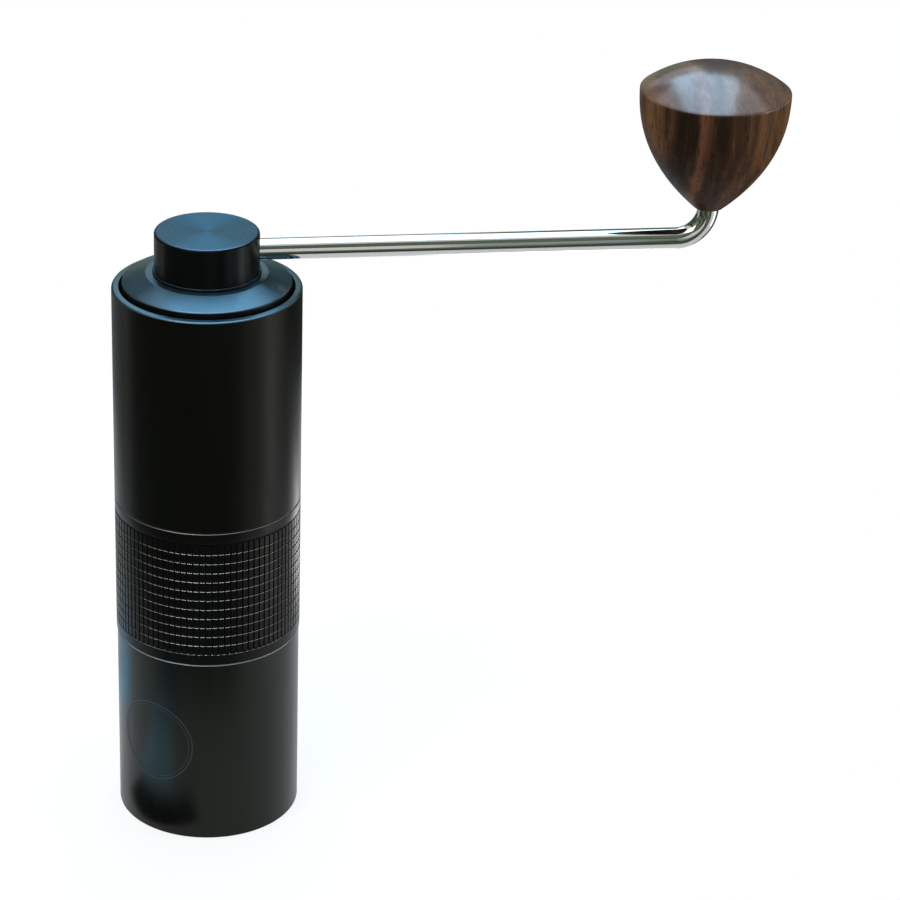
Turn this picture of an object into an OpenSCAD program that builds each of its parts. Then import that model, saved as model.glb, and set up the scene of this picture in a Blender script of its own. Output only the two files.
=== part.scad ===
// Hand crank coffee grinder. Millimetres, +Z up, origin at the centre of the cup's foot.
// The crank arm points along +X. The turned parts stack up from the foot to the wooden knob.

/* [Body] */
// Diameter of the turned body
body_d = 53; // [46:0.5:60]
// Height of the catch cup up to its shoulder
cup_h = 57.6; // [50:0.1:75]
// Height of the grip section between its two seams
grip_h = 41.7; // [40:0.1:50]
// Height of the plain tube above the grip
upper_h = 64.3; // [62:0.1:85]
// Open line between the cup's shoulder and the grip
seam_gap = 0.2; // [0.1:0.05:0.3]
// Bevel on both sides of the seam above the grip
seam_bevel = 0.3; // [0.1:0.05:0.5]
// Bevel on the tube's rim and the cup's foot
rim_bevel = 0.4; // [0.2:0.1:0.8]

/* [Walls] */
// Wall of the upper tube around the beans, above the upper bridge
hopper_wall = 3.5; // [3.2:0.1:4]
// Step in the bore that carries the upper bridge
bridge_step = 0.8; // [0.6:0.1:1]
// Wall of the mouth around the lid
mouth_wall = 2.1; // [1.8:0.1:2.4]
// Depth of the mouth recess that takes the lid
mouth_h = 9.1; // [8:0.1:11]
// Wall of the grip outside the screwed joint with the upper tube
joint_wall = 1.3; // [1.1:0.1:1.5]
// Wall of the grip around the ring burr and the lower bridge
seat_wall = 2.45; // [2.2:0.05:2.6]
// Wall of the grip around the cup's neck
skirt_wall = 1.6; // [1.3:0.1:1.8]
// Height of the ledge that the ring burr is screwed to
ledge_h = 4; // [3:0.5:5]

/* [Catch cup] */
// How far the cup's side stands behind the body's side
cup_step = 0.25; // [0.1:0.05:0.5]
// Wall of the cup
cup_wall = 2; // [1.8:0.1:2.4]
// Floor of the cup
cup_floor = 2.5; // [2:0.1:4]
// Height of the neck above the shoulder, inside the grip
neck_h = 4.6; // [4:0.1:5]
// Wall of the neck
neck_wall = 1.4; // [1.2:0.1:1.8]
// Play between the neck and the grip's bore
neck_play = 0.3; // [0.2:0.05:0.4]
// Thickness of the steel ring on the neck
steel_ring_h = 1.6; // [1.2:0.1:2]

/* [Magnet ring] */
// Thickness of the ring that holds the magnets
magnet_ring_h = 3.5; // [3:0.1:4]
// Air gap between the magnets and the cup's steel ring
magnet_gap = 0.3; // [0.2:0.05:0.4]
// Diameter of one magnet
magnet_d = 4; // [3:0.5:4]
// Thickness of one magnet
magnet_t = 2; // [1:0.5:2.5]
// Pairs of magnets, with one screw between each pair
magnet_pairs = 3; // [3:1:4]

/* [Grip pattern] */
// Rows of pads
grip_rows = 12; // [8:1:14]
// Plain band above and below the pads
grip_band = 3.45; // [2.5:0.05:5]
// Width of a groove between two rows
groove_w = 0.5; // [0.3:0.05:0.7]
// Depth of a groove
groove_deep = 0.35; // [0.2:0.05:0.5]

/* [Burrs] */
// Width of the ring burr's flat foot around the cone
burr_land = 4.75; // [4.6:0.05:5.2]
// Height of the cone burr
cone_h = 15.7; // [15:0.1:16]
// How far the cone hangs below the ring burr
cone_hang = 0.8; // [0.5:0.1:1]
// Grinding gap beside the cone in its stored setting
grind_gap = 0.4; // [0.35:0.05:0.6]
// Height of the ring burr
ring_burr_h = 12.5; // [12:0.1:14]
// Height of the fine cutting zone at the foot of both burrs
fine_zone_h = 6; // [5:0.1:7]
// How far the fine zone leans in over its height
fine_zone_lean = 1.7; // [1.4:0.1:2]
// How far the ring burr leans in further above the fine zone
feed_lean = 1.2; // [0.8:0.1:1.5]
// Feed flutes in the cone
cone_flutes = 7; // [5:1:8]
// Fine teeth around the foot of the cone
fine_teeth = 36; // [24:1:40]
// Radius of a screw that holds the ring burr
burr_screw_r = 1.25; // [1:0.05:1.4]
// Radius of that screw's head
burr_head_r = 2.2; // [2:0.05:2.3]

/* [Shaft and bearings] */
// Diameter of the shaft in its bearings
shaft_d = 8; // [7.6:0.1:8.2]
// Outer diameter of a ball bearing
bearing_od = 16; // [15.5:0.1:16.5]
// Width of a ball bearing
bearing_w = 5; // [4.8:0.1:5.2]
// Balls in a bearing
bearing_balls = 9; // [7:1:10]
// Wall around a bearing
bearing_wall = 1.6; // [1.4:0.1:2]
// Lip below a bearing
bearing_lip = 1.5; // [1.4:0.1:1.8]
// Height of both bearing bridges
bridge_h = 7.4; // [7.3:0.1:8]
// Width of a bridge's arm
bridge_arm_w = 4; // [3:0.5:6]
// Width of a bridge's outer ring
bridge_rim_w = 1.5; // [1.2:0.1:1.8]
// Height of the upper bridge above the seam
upper_bridge_z = 30.5; // [28:0.5:34]
// Distance across the two flats that drive the cone
flat_w = 6.4; // [6:0.1:7]
// Diameter of the threaded end that carries the dial
thread_d = 6; // [5:0.1:6]

/* [Grind dial] */
// Room around the dial inside the magnet ring
dial_play = 2.1; // [1.5:0.1:3]
// Height of the dial's rim
dial_h = 6; // [5:0.1:6.5]
// Height of the nut below the dial
dial_nut_h = 4; // [3:0.1:4.5]
// Notches around the rim
dial_notches = 40; // [20:2:48]
// Diameter of the balls that click under the cone
click_ball_d = 3; // [2.6:0.1:3]
// How far the click balls run inside the dial's edge
click_inset = 5.5; // [5:0.1:6]
// Coarsest setting of the burr, below the stored one
coarse_travel = 1.5; // [1:0.1:1.6]

/* [Lid] */
// Play around the lid's edge
lid_play = 0.8; // [0.6:0.1:1]
// Height of the lid's edge above the rim
lid_proud = 1.4; // [1:0.1:2]
// Rise of the lid from its edge to the land around the hub
lid_rise = 2.5; // [2:0.1:3]
// Radius of the flat land around the hub
land_r = 17; // [16.5:0.1:18]
// Thickness of the lid below the land
lid_plate = 4.5; // [4:0.1:5]
// Wall of the skirt inside the mouth
lid_skirt_w = 1.3; // [1.2:0.1:1.6]
// Section radius of the lid's sealing ring
seal_r = 0.75; // [0.6:0.05:0.8]
// Wall of the bush between the lid and the hub
bush_wall = 1.6; // [1.2:0.1:2]

/* [Crank] */
// Distance from the shaft to the knob's axis
arm_l = 140.5; // [120:0.5:160]
// Diameter of the bent rod
rod_d = 6; // [5:0.1:6.2]
// Radius of the bend, to the middle of the rod
bend_r = 9; // [8:0.5:12]
// Diameter of the hub
hub_d = 29.2; // [28.6:0.2:31]
// Height of the hub above the lid
hub_h = 11.8; // [11:0.1:14]
// Height of the rod's axis above the hub's underside
rod_z = 6; // [5.8:0.1:6.5]
// Width of the lip around the hub's foot
hub_lip_w = 0.5; // [0.3:0.1:0.8]
// Thickness of that lip
hub_lip_h = 0.6; // [0.4:0.1:0.8]
// Rounding of the hub's top edge
hub_round = 0.6; // [0.4:0.1:1]
// Radius of the stem that reaches down through the lid
stem_r = 7.5; // [7.3:0.1:8]
// Length of that stem
stem_l = 11; // [10.5:0.1:11.5]
// Wall of the steel socket outside the hexagon
socket_wall = 2.1; // [2:0.1:2.3]
// Radius of the set screw that holds the rod
set_screw_r = 2; // [1.5:0.1:2.2]

/* [Knob] */
// Diameter at the sharp rim
knob_d = 42; // [36:0.5:50]
// Height from the foot to the rim
knob_h = 34.5; // [31:0.5:42]
// Height of the dome above the rim
dome_h = 7.2; // [5:0.1:12]
// Radius of the knob's foot
knob_foot_r = 3.9; // [3.8:0.1:5]
// Fullness of the flank: 1 is a straight cone
flank_power = 2.15; // [1.5:0.05:3]
// Diameter of the pin inside the knob
pin_d = 4; // [3:0.1:4.2]
// Length of the pin above the rod's shoulder
pin_l = 20.8; // [17:0.1:22]
// Wall of the brass bush around the pin
knob_bush_wall = 1.1; // [1:0.05:1.2]

/* [Fits] */
// Play between two parts of one assembly that are pushed together
press_play = 0.02; // [0.01:0.01:0.04]
// Play of a part that turns or slides on another
run_play = 0.06; // [0.03:0.01:0.09]
// Air between parts that move past each other
air = 0.3; // [0.2:0.05:0.4]

/* [Hidden] */
$fn = 96;
bite = 1; // how far a cutting shape runs past what it cuts

// Small sizes of standard parts
clip_h = 0.8; // thickness of a circlip
clip_w = 2; // width of a circlip's band
clip_bite = 0.5; // depth of a circlip's groove
snap_h = 1.2; // thickness of the bridge's snap ring
washer_h = 1.2; // thickness of the spring's washer
spring_wire_r = 0.45; // wire radius of the burr spring
cover_h = 4.4; // height of a bearing's cover
cover_wall = 1.2; // wall of a bearing's cover
shoulder_rise = 2; // straight length of the rod between its bend and its shoulder
hex_rise = 1.5; // how far the shaft's hexagon stands above the hub's underside
seal_rise = 3.5; // height of the sealing ring above the skirt's foot
bush_flange = 1; // width and thickness of the lid bush's flange
thread_short = 4; // how far the thread stops below the top of the dial
click_proud = 0.2; // how far a click ball's centre stands above the dial

// Radii from the outside in
body_r = body_d / 2;
cup_r = body_r - cup_step;
cavity_r = cup_r - cup_wall;
mouth_r = body_r - mouth_wall;
hopper_r = body_r - hopper_wall;
lower_hopper_r = hopper_r - bridge_step;
joint_r = body_r - joint_wall;
seat_r = body_r - seat_wall;
skirt_r = body_r - skirt_wall;
neck_r = skirt_r - neck_play;
ring_mouth_r = seat_r - burr_land;
cone_r = ring_mouth_r - grind_gap;
screw_circle_r = (ring_mouth_r + skirt_r) / 2;
ring_hole_r = ring_mouth_r + air;
shaft_r = shaft_d / 2;
bearing_r = bearing_od / 2;
ball_circle_r = (shaft_r + bearing_r) / 2;
ball_r = (bearing_r - shaft_r) * 0.3;
race_gap = ball_r * 1.2;
lip_hole_r = ball_circle_r + air;
bearing_hub_r = bearing_r + bearing_wall;
lid_r = mouth_r - lid_play;
hub_r = hub_d / 2;
rod_r = rod_d / 2;
pin_r = pin_d / 2;
knob_r = knob_d / 2;
thread_r = thread_d / 2;
dial_r = ring_hole_r - dial_play;
click_circle_r = dial_r - click_inset;
click_ball_r = click_ball_d / 2;
hex_r = shaft_r;
socket_r = hex_r + run_play + socket_wall;
stem_bush_r = stem_r + run_play + bush_wall;
knob_bush_r = pin_r + run_play + knob_bush_wall;

// Levels from the foot up
z_grip = cup_h + seam_gap;
z_neck = cup_h + neck_h;
z_steel_ring = z_neck + steel_ring_h;
z_magnet_ring = z_steel_ring + magnet_gap;
z_ring_burr = z_magnet_ring + magnet_ring_h;
z_ledge = z_ring_burr + ring_burr_h;
z_lower_bridge = z_ledge + ledge_h;
z_joint = z_lower_bridge + bridge_h;
z_seam = z_grip + grip_h;
z_upper_bridge = z_seam + upper_bridge_z;
z_rim = z_seam + upper_h;
z_mouth = z_rim - mouth_h;
z_lid_edge = z_rim + lid_proud;
z_land = z_lid_edge + lid_rise;
z_plate = z_land - lid_plate;
z_hub = z_land + air;
z_hub_top = z_hub + hub_h;
z_rod = z_hub + rod_z;
z_stem = z_hub - stem_l;
z_shoulder = z_rod + bend_r + shoulder_rise;
z_knob = z_rod + bend_r + air / 2;
z_knob_rim = z_knob + knob_h;
z_cone = z_ring_burr - cone_hang;
z_cone_top = z_cone + cone_h;
z_dial = z_cone - air;
z_dial_foot = z_dial - dial_h;
z_nut_foot = z_dial_foot - dial_nut_h;
z_end_clip = z_nut_foot - coarse_travel - air - clip_h;
z_shaft_foot = z_end_clip - clip_h;
z_thread_top = z_dial - thread_short;
z_hex = z_stem - air;
z_shaft_top = z_hub + hex_rise;
z_socket_top = z_rod - rod_r - air;
z_seal = z_mouth + air + seal_rise;
z_click = z_cone + click_proud;

// A ring between two heights
module ring(z0, z1, outer, inner) {
    translate([0, 0, z0])
        difference() {
            cylinder(h = z1 - z0, r = outer);
            translate([0, 0, -bite]) cylinder(h = z1 - z0 + 2 * bite, r = inner);
        }
}

// A disc between two heights, used to cut bores
module disc(z0, z1, r) {
    translate([0, 0, z0]) cylinder(h = z1 - z0, r = r);
}

// A turned part from its half outline of [radius, height] points
module turned(points) {
    rotate_extrude() polygon(points);
}

// A ring of round section
module round_ring(r, z, section_r) {
    rotate_extrude() translate([r, z]) circle(r = section_r, $fn = 32);
}

// Copies at even angles around the shaft
module around(count, first = 0) {
    for (i = [0:count - 1]) rotate([0, 0, first + i * 360 / count]) children();
}

// An open clip whose ends leave a gap
module open_clip(z0, z1, outer, inner, gap_w) {
    difference() {
        ring(z0, z1, outer, inner);
        translate([0, -gap_w / 2, z0 - bite]) cube([outer + bite, gap_w, z1 - z0 + 2 * bite]);
    }
}

// Height of a coil after t turns: closed end turns, open turns between
function coil_rise(t, turns, height, wire_r) =
    let (closed = 2.2 * wire_r)
    t < 1 ? closed * t
    : t > turns - 1 ? height - closed * (turns - t)
    : closed + (height - 2 * closed) * (t - 1) / (turns - 2);

// A wire spring standing between two heights
module coil(r, wire_r, z0, z1, turns, steps = 16, sides = 8) {
    count = turns * steps;
    height = z1 - z0 - 2 * wire_r;
    points = [
        for (i = [0:count], j = [0:sides - 1])
            let (
                a = 360 * i / steps,
                b = 360 * j / sides,
                reach = r + wire_r * cos(b),
                lift = coil_rise(i / steps, turns, height, wire_r)
            )
            [reach * cos(a), reach * sin(a), z0 + wire_r + lift + wire_r * sin(b)]
    ];
    walls = [
        for (i = [0:count - 1], j = [0:sides - 1])
            let (k = (j + 1) % sides)
            [i * sides + j, i * sides + k, (i + 1) * sides + k, (i + 1) * sides + j]
    ];
    first_end = [[for (j = [sides - 1:-1:0]) j]];
    last_end = [[for (j = [0:sides - 1]) count * sides + j]];
    polyhedron(points, concat(walls, first_end, last_end));
}

// ---- Catch cup ----

module catch_cup() {
    neck_hole_r = neck_r - neck_wall;
    z_narrow = cup_h - neck_wall;
    color("#17181a")
        turned([
            [0, 0], [cup_r - rim_bevel, 0], [cup_r, rim_bevel],
            [cup_r, cup_h - seam_bevel], [cup_r - seam_bevel, cup_h],
            [neck_r, cup_h], [neck_r, z_neck], [neck_hole_r, z_neck],
            [neck_hole_r, z_narrow], [cavity_r, z_narrow - (cavity_r - neck_hole_r)],
            [cavity_r, cup_floor + rim_bevel], [cavity_r - rim_bevel, cup_floor], [0, cup_floor]
        ]);
}

module cup_steel_ring() {
    color("#b9bcc0") ring(z_neck, z_steel_ring, neck_r - press_play, ring_hole_r);
}

// ---- Body ----

module upper_tube() {
    spigot_r = joint_r - press_play;
    snap_z = z_upper_bridge + bridge_h;
    color("#17181a")
        difference() {
            turned([
                [lower_hopper_r, z_joint], [spigot_r, z_joint], [spigot_r, z_seam],
                [body_r - seam_bevel, z_seam], [body_r, z_seam + seam_bevel],
                [body_r, z_rim - rim_bevel], [body_r - rim_bevel, z_rim],
                [mouth_r, z_rim], [mouth_r, z_mouth], [hopper_r, z_mouth],
                [hopper_r, z_upper_bridge], [lower_hopper_r, z_upper_bridge]
            ]);
            ring(snap_z, snap_z + snap_h, hopper_r + clip_bite * 2, hopper_r - bite);
        }
}

module grip_body() {
    row_h = (grip_h - 2 * grip_band) / grip_rows;
    color("#141516")
        difference() {
            turned([
                [skirt_r, z_grip], [body_r - seam_bevel, z_grip], [body_r, z_grip + seam_bevel],
                [body_r, z_seam - seam_bevel], [body_r - seam_bevel, z_seam],
                [joint_r, z_seam], [joint_r, z_joint], [seat_r, z_joint],
                [seat_r, z_lower_bridge], [ring_hole_r, z_lower_bridge],
                [ring_hole_r, z_ledge], [seat_r, z_ledge],
                [seat_r, z_ring_burr], [skirt_r, z_ring_burr]
            ]);
            for (i = [0:grip_rows])
                let (z = z_grip + grip_band + i * row_h)
                ring(z - groove_w / 2, z + groove_w / 2, body_r + bite, body_r - groove_deep);
            around(magnet_pairs)
                translate([screw_circle_r, 0, z_ledge - bite])
                    cylinder(h = ledge_h + 2 * bite, r = burr_screw_r + press_play);
        }
}

// A bearing seat on three arms, with the rim that fits a bore
module bearing_bridge(z, rim_r, first_angle) {
    rim_hole_r = rim_r - bridge_rim_w;
    difference() {
        union() {
            disc(z, z + bridge_h, bearing_hub_r);
            ring(z, z + bridge_h, rim_r, rim_hole_r);
            around(3, first_angle)
                translate([bearing_r, -bridge_arm_w / 2, z])
                    cube([rim_hole_r + bridge_rim_w / 2 - bearing_r, bridge_arm_w, bridge_h]);
        }
        disc(z - bite, z + bridge_h + bite, lip_hole_r);
        disc(z + bearing_lip, z + bridge_h + bite, bearing_r + press_play);
    }
}

module upper_bridge() {
    color("#9a9da1") bearing_bridge(z_upper_bridge, hopper_r - press_play, 90);
}

module bridge_snap_ring() {
    snap_z = z_upper_bridge + bridge_h;
    gap_w = 9;
    color("#8d9094")
        open_clip(snap_z, snap_z + snap_h, hopper_r + clip_bite * 2 - press_play,
            hopper_r - clip_w / 2, gap_w);
}

module lower_bridge() {
    color("#9a9da1") bearing_bridge(z_lower_bridge, seat_r - press_play, 30);
}

// The outer race of a bearing whose foot is at z
module outer_race(z) {
    color("#c3c6ca")
        difference() {
            ring(z, z + bearing_w, bearing_r, ball_circle_r + race_gap / 2);
            round_ring(ball_circle_r, z + bearing_w / 2, ball_r + run_play);
        }
}

// The inner race of a bearing whose foot is at z
module inner_race(z) {
    color("#c3c6ca")
        difference() {
            ring(z, z + bearing_w, ball_circle_r - race_gap / 2, shaft_r + press_play);
            round_ring(ball_circle_r, z + bearing_w / 2, ball_r + press_play);
        }
}

// The balls of a bearing whose foot is at z
module bearing_ball_set(z) {
    color("#d6d9dc")
        around(bearing_balls)
            translate([ball_circle_r, 0, z + bearing_w / 2]) sphere(r = ball_r, $fn = 32);
}

// A cone that keeps beans out of a bearing, standing on its bridge
module bearing_cover(z) {
    top_r = shaft_r + air + cover_wall;
    inside_r = bearing_hub_r - cover_wall;
    color("#3a3c3f")
        turned([
            [inside_r, z], [bearing_hub_r, z], [bearing_hub_r, z + cover_wall],
            [top_r, z + cover_h], [shaft_r + air, z + cover_h],
            [shaft_r + air, z + cover_h - cover_wall], [inside_r, z + cover_wall / 2]
        ]);
}

module upper_bearing_outer_race() {
    outer_race(z_upper_bridge + bearing_lip);
}

module lower_bearing_outer_race() {
    outer_race(z_lower_bridge + bearing_lip);
}

module upper_bearing_cover() {
    bearing_cover(z_upper_bridge + bridge_h);
}

module lower_bearing_cover() {
    bearing_cover(z_lower_bridge + bridge_h);
}

module ring_burr() {
    top_r = ring_mouth_r - fine_zone_lean - feed_lean;
    z_fine = z_ring_burr + fine_zone_h;
    feed_groove_r = 1.6;
    feed_slant = [18, 8, 0];
    color("#a9acb0")
        difference() {
            turned([
                [ring_mouth_r, z_ring_burr], [seat_r - press_play, z_ring_burr],
                [seat_r - press_play, z_ledge], [top_r, z_ledge],
                [ring_mouth_r - fine_zone_lean, z_fine]
            ]);
            around(magnet_pairs)
                translate([screw_circle_r, 0, z_ring_burr - bite])
                    cylinder(h = ring_burr_h + 2 * bite, r = burr_screw_r + press_play);
            around(2 * cone_flutes)
                translate([top_r, 0, z_ledge])
                    rotate(feed_slant) cylinder(h = ring_burr_h, r = feed_groove_r, center = true);
        }
}

// One magnet's angle: two stand between each pair of screws
function magnet_angle(i) = (floor(i / 2) + (i % 2 == 0 ? 1 : 2) / 3) * 360 / magnet_pairs;

module at_magnets() {
    for (i = [0:2 * magnet_pairs - 1])
        rotate([0, 0, magnet_angle(i)]) translate([screw_circle_r, 0, z_magnet_ring]) children();
}

module magnet_ring() {
    z_head_seat = z_magnet_ring + magnet_ring_h / 2;
    color("#2b2d30")
        difference() {
            ring(z_magnet_ring, z_ring_burr, skirt_r - press_play, ring_hole_r);
            at_magnets()
                translate([0, 0, -bite]) cylinder(h = magnet_t + bite, r = magnet_d / 2 + press_play);
            around(magnet_pairs)
                translate([screw_circle_r, 0, 0]) {
                    disc(z_magnet_ring - bite, z_ring_burr + bite, burr_screw_r + press_play);
                    disc(z_magnet_ring - bite, z_head_seat, burr_head_r + press_play);
                }
        }
}

module cup_magnets() {
    color("#d0d2d4") at_magnets() cylinder(h = magnet_t, r = magnet_d / 2);
}

module burr_screws() {
    head_h = magnet_ring_h / 2 - air;
    z_head = z_magnet_ring + magnet_ring_h / 2 - head_h;
    key_r = 1;
    color("#c9ccd0")
        around(magnet_pairs)
            translate([screw_circle_r, 0, 0])
                difference() {
                    union() {
                        disc(z_head, z_head + head_h, burr_head_r);
                        disc(z_head, z_lower_bridge - air, burr_screw_r);
                    }
                    translate([0, 0, z_head - bite]) cylinder(h = bite + head_h / 2, r = key_r, $fn = 6);
                }
}

// ---- Rotor ----

module drive_shaft() {
    z_collar = z_lower_bridge + bearing_lip + bearing_w;
    collar_h = 2;
    cut_r = shaft_r + bite;
    groove_r = shaft_r - clip_bite;
    z_flats = z_cone_top - cone_h / 2 + bite;
    z_upper_bearing = z_upper_bridge + bearing_lip;
    color("#c6c9cd")
        difference() {
            union() {
                disc(z_shaft_foot, z_thread_top, thread_r);
                translate([0, 0, z_thread_top])
                    linear_extrude(z_flats - z_thread_top)
                        intersection() {
                            circle(r = shaft_r);
                            square([shaft_d, flat_w], center = true);
                        }
                disc(z_flats, z_hex, shaft_r);
                disc(z_collar, z_collar + collar_h, shaft_r + clip_w / 2);
                translate([0, 0, z_hex]) cylinder(h = z_shaft_top - z_hex, r = hex_r, $fn = 6);
            }
            for (z = [z_upper_bearing - clip_h, z_upper_bearing + bearing_w])
                ring(z, z + clip_h, cut_r, groove_r);
            ring(z_end_clip, z_end_clip + clip_h, thread_r + bite, thread_r - clip_bite);
        }
}

module shaft_circlips() {
    z_upper_bearing = z_upper_bridge + bearing_lip;
    gap_w = 3;
    color("#5b5e62")
        for (z = [z_upper_bearing - clip_h, z_upper_bearing + bearing_w])
            open_clip(z, z + clip_h, shaft_r + clip_w / 2, shaft_r - clip_bite + press_play, gap_w);
}

module shaft_end_clip() {
    gap_w = 3;
    color("#5b5e62")
        open_clip(z_end_clip, z_end_clip + clip_h, thread_r + clip_w,
            thread_r - clip_bite + press_play, gap_w);
}

module upper_bearing_inner_race() {
    inner_race(z_upper_bridge + bearing_lip);
}

module lower_bearing_inner_race() {
    inner_race(z_lower_bridge + bearing_lip);
}

module upper_bearing_balls() {
    bearing_ball_set(z_upper_bridge + bearing_lip);
}

module lower_bearing_balls() {
    bearing_ball_set(z_lower_bridge + bearing_lip);
}

module spring_washer() {
    z_top = z_lower_bridge + bearing_lip;
    color("#b4b7bb") ring(z_top - washer_h, z_top, ball_circle_r - run_play, shaft_r + run_play);
}

module burr_spring() {
    turns = 5.5;
    color("#8b8e92")
        coil(shaft_r + 2 * spring_wire_r, spring_wire_r, z_cone + cone_h / 2,
            z_lower_bridge + bearing_lip - washer_h, turns);
}

// ---- Cone burr and dial ----

module cone_burr() {
    pocket_r = shaft_r + 4 * spring_wire_r + run_play;
    top_r = pocket_r + bearing_wall;
    z_fine = z_ring_burr + fine_zone_h;
    hole_h = click_ball_d * 2;
    top_bevel = 2;
    flute_r = 2.4;
    flute_rise = 2;
    flute_slant = [26, -38, 0];
    tooth_w = 1;
    tooth_out = 0.2;
    tooth_slant = [14, 0, 45];
    color("#9fa2a6")
        difference() {
            turned([
                [0, z_cone], [cone_r, z_cone], [cone_r, z_ring_burr],
                [cone_r - fine_zone_lean, z_fine], [top_r + top_bevel, z_cone_top - top_bevel],
                [top_r, z_cone_top], [0, z_cone_top]
            ]);
            translate([0, 0, z_cone - bite])
                linear_extrude(cone_h + 2 * bite)
                    intersection() {
                        circle(r = shaft_r + run_play);
                        square([shaft_d + bite, flat_w + 2 * run_play], center = true);
                    }
            disc(z_cone + cone_h / 2, z_cone_top + bite, pocket_r);
            around(2)
                translate([click_circle_r, 0, z_cone - bite])
                    cylinder(h = hole_h + bite, r = click_ball_r + run_play);
            around(cone_flutes)
                translate([cone_r - fine_zone_lean, 0, z_fine + flute_rise])
                    rotate(flute_slant) cylinder(h = cone_h, r = flute_r, center = true);
            around(fine_teeth)
                translate([cone_r + tooth_out, 0, z_ring_burr])
                    rotate(tooth_slant) cube([tooth_w, tooth_w, fine_zone_h], center = true);
        }
}

module click_balls() {
    color("#d6d9dc")
        around(2) translate([click_circle_r, 0, z_click]) sphere(r = click_ball_r, $fn = 32);
}

module click_springs() {
    wire_r = 0.2;
    turns = 5;
    steps = 12;
    sides = 6;
    color("#8b8e92")
        around(2)
            translate([click_circle_r, 0, 0])
                coil(click_ball_r - 2 * wire_r - run_play, wire_r, z_click + click_ball_r,
                    z_cone + 2 * click_ball_d, turns, steps, sides);
}

module adjusting_dial() {
    bevel = 0.8;
    nut_r = thread_r + 4;
    nut_bevel = 0.4;
    notch_r = 0.7;
    notch_out = 0.2;
    tick = [2.4, 0.5, 0.3];
    tick_inset = 4;
    color("#303236")
        difference() {
            turned([
                [0, z_nut_foot], [nut_r - nut_bevel, z_nut_foot], [nut_r, z_nut_foot + nut_bevel],
                [nut_r, z_dial_foot], [dial_r - bevel, z_dial_foot],
                [dial_r, z_dial_foot + bevel], [dial_r, z_dial - bevel / 2],
                [dial_r - bevel / 2, z_dial], [0, z_dial]
            ]);
            disc(z_nut_foot - bite, z_dial + bite, thread_r + run_play);
            disc(z_thread_top - air * 2, z_dial + bite, shaft_r + air);
            round_ring(click_circle_r, z_click, click_ball_r + air / 2);
            around(dial_notches)
                translate([dial_r + notch_out, 0, z_dial_foot - bite])
                    cylinder(h = dial_h + 2 * bite, r = notch_r);
            around(dial_notches, 180 / dial_notches)
                translate([dial_r - tick_inset, -tick[1] / 2, z_dial_foot - bite])
                    cube([tick[0], tick[1], bite + tick[2]]);
        }
}

// ---- Lid ----

module lid() {
    skirt_hole_r = lid_r - lid_skirt_w;
    z_skirt = z_mouth + air;
    seal_groove_h = 1.2 * seal_r;
    edge = 0.3;
    color("#1a1c1f")
        difference() {
            turned([
                [stem_bush_r + press_play, z_plate], [skirt_hole_r, z_plate], [skirt_hole_r, z_skirt],
                [lid_r, z_skirt], [lid_r, z_lid_edge - edge], [lid_r - edge, z_lid_edge],
                [land_r, z_land], [stem_bush_r + press_play, z_land]
            ]);
            ring(z_seal - seal_groove_h, z_seal + seal_groove_h, lid_r + bite, lid_r - seal_r);
        }
}

module lid_seal() {
    color("#0e0e0f") round_ring(lid_r + press_play, z_seal, seal_r);
}

module lid_bush() {
    flange_r = stem_bush_r + bush_flange;
    z_flange = z_plate - bush_flange;
    color("#e8e6df")
        turned([
            [stem_r + run_play, z_flange], [flange_r, z_flange], [flange_r, z_plate],
            [stem_bush_r, z_plate], [stem_bush_r, z_land], [stem_r + run_play, z_land]
        ]);
}

// ---- Crank ----

module crank_hub() {
    clip_top = z_plate - bush_flange - air;
    color("#17181a")
        difference() {
            union() {
                rotate_extrude()
                    union() {
                        polygon([
                            [0, z_stem], [stem_r - rim_bevel, z_stem], [stem_r, z_stem + rim_bevel],
                            [stem_r, z_hub], [hub_r + hub_lip_w, z_hub],
                            [hub_r + hub_lip_w, z_hub + hub_lip_h], [hub_r, z_hub + hub_lip_h],
                            [hub_r, z_hub_top - hub_round], [hub_r - hub_round, z_hub_top - hub_round],
                            [hub_r - hub_round, z_hub_top], [0, z_hub_top]
                        ]);
                        translate([hub_r - hub_round, z_hub_top - hub_round]) circle(r = hub_round, $fn = 32);
                    }
            }
            disc(z_stem - bite, z_socket_top + air / 2, socket_r + press_play);
            translate([rod_r / 2, 0, z_rod]) rotate([0, 90, 0]) cylinder(h = hub_d, r = rod_r + press_play);
            translate([(hub_r + stem_r) / 2, 0, z_hub - bite])
                cylinder(h = bite + rod_z, r = set_screw_r + press_play);
            ring(clip_top - clip_h, clip_top, stem_r + bite, stem_r - clip_bite);
        }
}

module drive_socket() {
    corner_play = 1.2 * run_play;
    color("#b9bcc0")
        difference() {
            disc(z_stem, z_socket_top, socket_r);
            translate([0, 0, z_stem - bite])
                cylinder(h = z_shaft_top + air - z_stem + bite, r = hex_r + corner_play, $fn = 6);
        }
}

module hub_circlip() {
    clip_top = z_plate - bush_flange - air;
    band = 1.4;
    gap_w = 5;
    color("#5b5e62")
        open_clip(clip_top - clip_h, clip_top, stem_r + band, stem_r - clip_bite + press_play, gap_w);
}

module arm_set_screw() {
    z_foot = z_hub + air;
    key_r = 1.1;
    key_deep = 1.2;
    color("#5b5e62")
        translate([(hub_r + stem_r) / 2, 0, z_foot])
            difference() {
                cylinder(h = z_rod - rod_r - press_play - z_foot, r = set_screw_r);
                translate([0, 0, -bite]) cylinder(h = bite + key_deep, r = key_r, $fn = 6);
            }
}

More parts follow.
